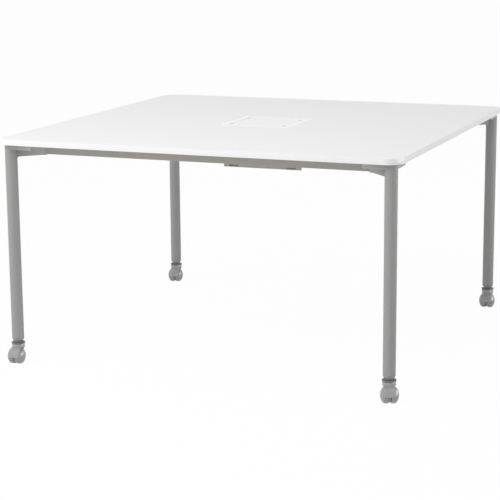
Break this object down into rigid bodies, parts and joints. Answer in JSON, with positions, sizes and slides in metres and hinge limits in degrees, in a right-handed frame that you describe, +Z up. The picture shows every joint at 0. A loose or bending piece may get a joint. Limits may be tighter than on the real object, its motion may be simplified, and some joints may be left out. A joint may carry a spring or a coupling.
{
  "type": "conference table",
  "caption": "Square conference table: white rounded top on a recessed steel frame, round tube legs on hooded twin-wheel casters, and a lidded cable port over a hanging cable tray.",
  "frame": {"origin": "on the floor under the middle of the table", "axes": "+Z up, +X to the right seen from the front, -Y towards the front, the side nearest the camera in the picture"},
  "size_m": [1.3003, 1.3109, 0.72],
  "materials": {
    "white_laminate": "white laminate with a fine satin texture on particle board",
    "white_banding": "smooth white edge band",
    "grey_paint": "silver grey powder coat, satin",
    "grey_casting": "silver grey powder coat on a die casting",
    "grey_sheet": "silver grey powder coat on folded sheet",
    "caster_nylon": "silver grey moulded nylon, satin",
    "dark_plastic": "dark grey plastic",
    "white_plastic": "white moulded plastic, satin",
    "plated_zinc": "zinc plated steel"
  },
  "bodies": {
    "table": {"top_board": "white_laminate", "edge_band": "white_banding", "bracket_front_left": "grey_casting", "bracket_front_right": "grey_casting", "bracket_back_left": "grey_casting", "bracket_back_right": "grey_casting", "leg_front_left": "grey_paint", "leg_front_right": "grey_paint", "leg_back_left": "grey_paint", "leg_back_right": "grey_paint", "leg_bolt_front_left": "plated_zinc", "leg_bolt_front_right": "plated_zinc", "leg_bolt_back_left": "plated_zinc", "leg_bolt_back_right": "plated_zinc", "leg_nut_plate_front_left": "plated_zinc", "leg_nut_plate_front_right": "plated_zinc", "leg_nut_plate_back_left": "plated_zinc", "leg_nut_plate_back_right": "plated_zinc", "beam_front": "grey_paint", "beam_right": "grey_paint", "beam_back": "grey_paint", "beam_left": "grey_paint", "socket_front_left": "grey_paint", "socket_front_right": "grey_paint", "socket_back_left": "grey_paint", "socket_back_right": "grey_paint", "bearing_ring_front_left": "dark_plastic", "bearing_ring_front_right": "dark_plastic", "bearing_ring_back_left": "dark_plastic", "bearing_ring_back_right": "dark_plastic", "port_frame": "white_plastic", "lid_hinge_pin_left": "plated_zinc", "lid_hinge_pin_right": "plated_zinc", "cable_tray": "grey_sheet", "tray_hanger_left": "grey_sheet", "tray_hanger_right": "grey_sheet"},
    "lid": {"port_lid": "white_plastic", "lid_hinge_rail": "white_plastic"},
    "swivel_front_left": {"caster_stem_front_left": "plated_zinc", "caster_hood_front_left": "caster_nylon", "caster_axle_front_left": "plated_zinc"},
    "swivel_front_right": {"caster_stem_front_right": "plated_zinc", "caster_hood_front_right": "caster_nylon", "caster_axle_front_right": "plated_zinc"},
    "swivel_back_left": {"caster_stem_back_left": "plated_zinc", "caster_hood_back_left": "caster_nylon", "caster_axle_back_left": "plated_zinc"},
    "swivel_back_right": {"caster_stem_back_right": "plated_zinc", "caster_hood_back_right": "caster_nylon", "caster_axle_back_right": "plated_zinc"},
    "roller_left_front_left": {"wheel_left_front_left": "caster_nylon"},
    "roller_right_front_left": {"wheel_right_front_left": "caster_nylon"},
    "roller_left_front_right": {"wheel_left_front_right": "caster_nylon"},
    "roller_right_front_right": {"wheel_right_front_right": "caster_nylon"},
    "roller_left_back_left": {"wheel_left_back_left": "caster_nylon"},
    "roller_right_back_left": {"wheel_right_back_left": "caster_nylon"},
    "roller_left_back_right": {"wheel_left_back_right": "caster_nylon"},
    "roller_right_back_right": {"wheel_right_back_right": "caster_nylon"}
  },
  "joints": [
    {"name": "lid_hinge", "type": "hinge", "parent": "table", "child": "lid", "pos_m": [0, 0.1034, 0.7155], "axis": [-1, 0, 0], "range_deg": [0, 95]},
    {"name": "swivel_front_left_turn", "type": "hinge", "parent": "table", "child": "swivel_front_left", "pos_m": [-0.615, -0.615, 0.072], "axis": [0, 0, 1], "continuous": true},
    {"name": "swivel_front_right_turn", "type": "hinge", "parent": "table", "child": "swivel_front_right", "pos_m": [0.615, -0.615, 0.072], "axis": [0, 0, 1], "continuous": true},
    {"name": "swivel_back_left_turn", "type": "hinge", "parent": "table", "child": "swivel_back_left", "pos_m": [-0.615, 0.615, 0.072], "axis": [0, 0, 1], "continuous": true},
    {"name": "swivel_back_right_turn", "type": "hinge", "parent": "table", "child": "swivel_back_right", "pos_m": [0.615, 0.615, 0.072], "axis": [0, 0, 1], "continuous": true},
    {"name": "roller_left_front_left_spin", "type": "hinge", "parent": "swivel_front_left", "child": "roller_left_front_left", "pos_m": [-0.61333, -0.63091, 0.025], "axis": [0.9945, 0.1045, 0], "continuous": true},
    {"name": "roller_right_front_left_spin", "type": "hinge", "parent": "swivel_front_left", "child": "roller_right_front_left", "pos_m": [-0.61333, -0.63091, 0.025], "axis": [0.9945, 0.1045, 0], "continuous": true},
    {"name": "roller_left_front_right_spin", "type": "hinge", "parent": "swivel_front_right", "child": "roller_left_front_right", "pos_m": [0.62099, -0.62983, 0.025], "axis": [0.9272, 0.3746, 0], "continuous": true},
    {"name": "roller_right_front_right_spin", "type": "hinge", "parent": "swivel_front_right", "child": "roller_right_front_right", "pos_m": [0.62099, -0.62983, 0.025], "axis": [0.9272, 0.3746, 0], "continuous": true},
    {"name": "roller_left_back_left_spin", "type": "hinge", "parent": "swivel_back_left", "child": "roller_left_back_left", "pos_m": [-0.61113, 0.59948, 0.025], "axis": [0.9703, 0.2419, 0], "continuous": true},
    {"name": "roller_right_back_left_spin", "type": "hinge", "parent": "swivel_back_left", "child": "roller_right_back_left", "pos_m": [-0.61113, 0.59948, 0.025], "axis": [0.9703, 0.2419, 0], "continuous": true},
    {"name": "roller_left_back_right_spin", "type": "hinge", "parent": "swivel_back_right", "child": "roller_left_back_right", "pos_m": [0.61723, 0.59916, 0.025], "axis": [0.9903, 0.1392, 0], "continuous": true},
    {"name": "roller_right_back_right_spin", "type": "hinge", "parent": "swivel_back_right", "child": "roller_right_back_right", "pos_m": [0.61723, 0.59916, 0.025], "axis": [0.9903, 0.1392, 0], "continuous": true}
  ]
}
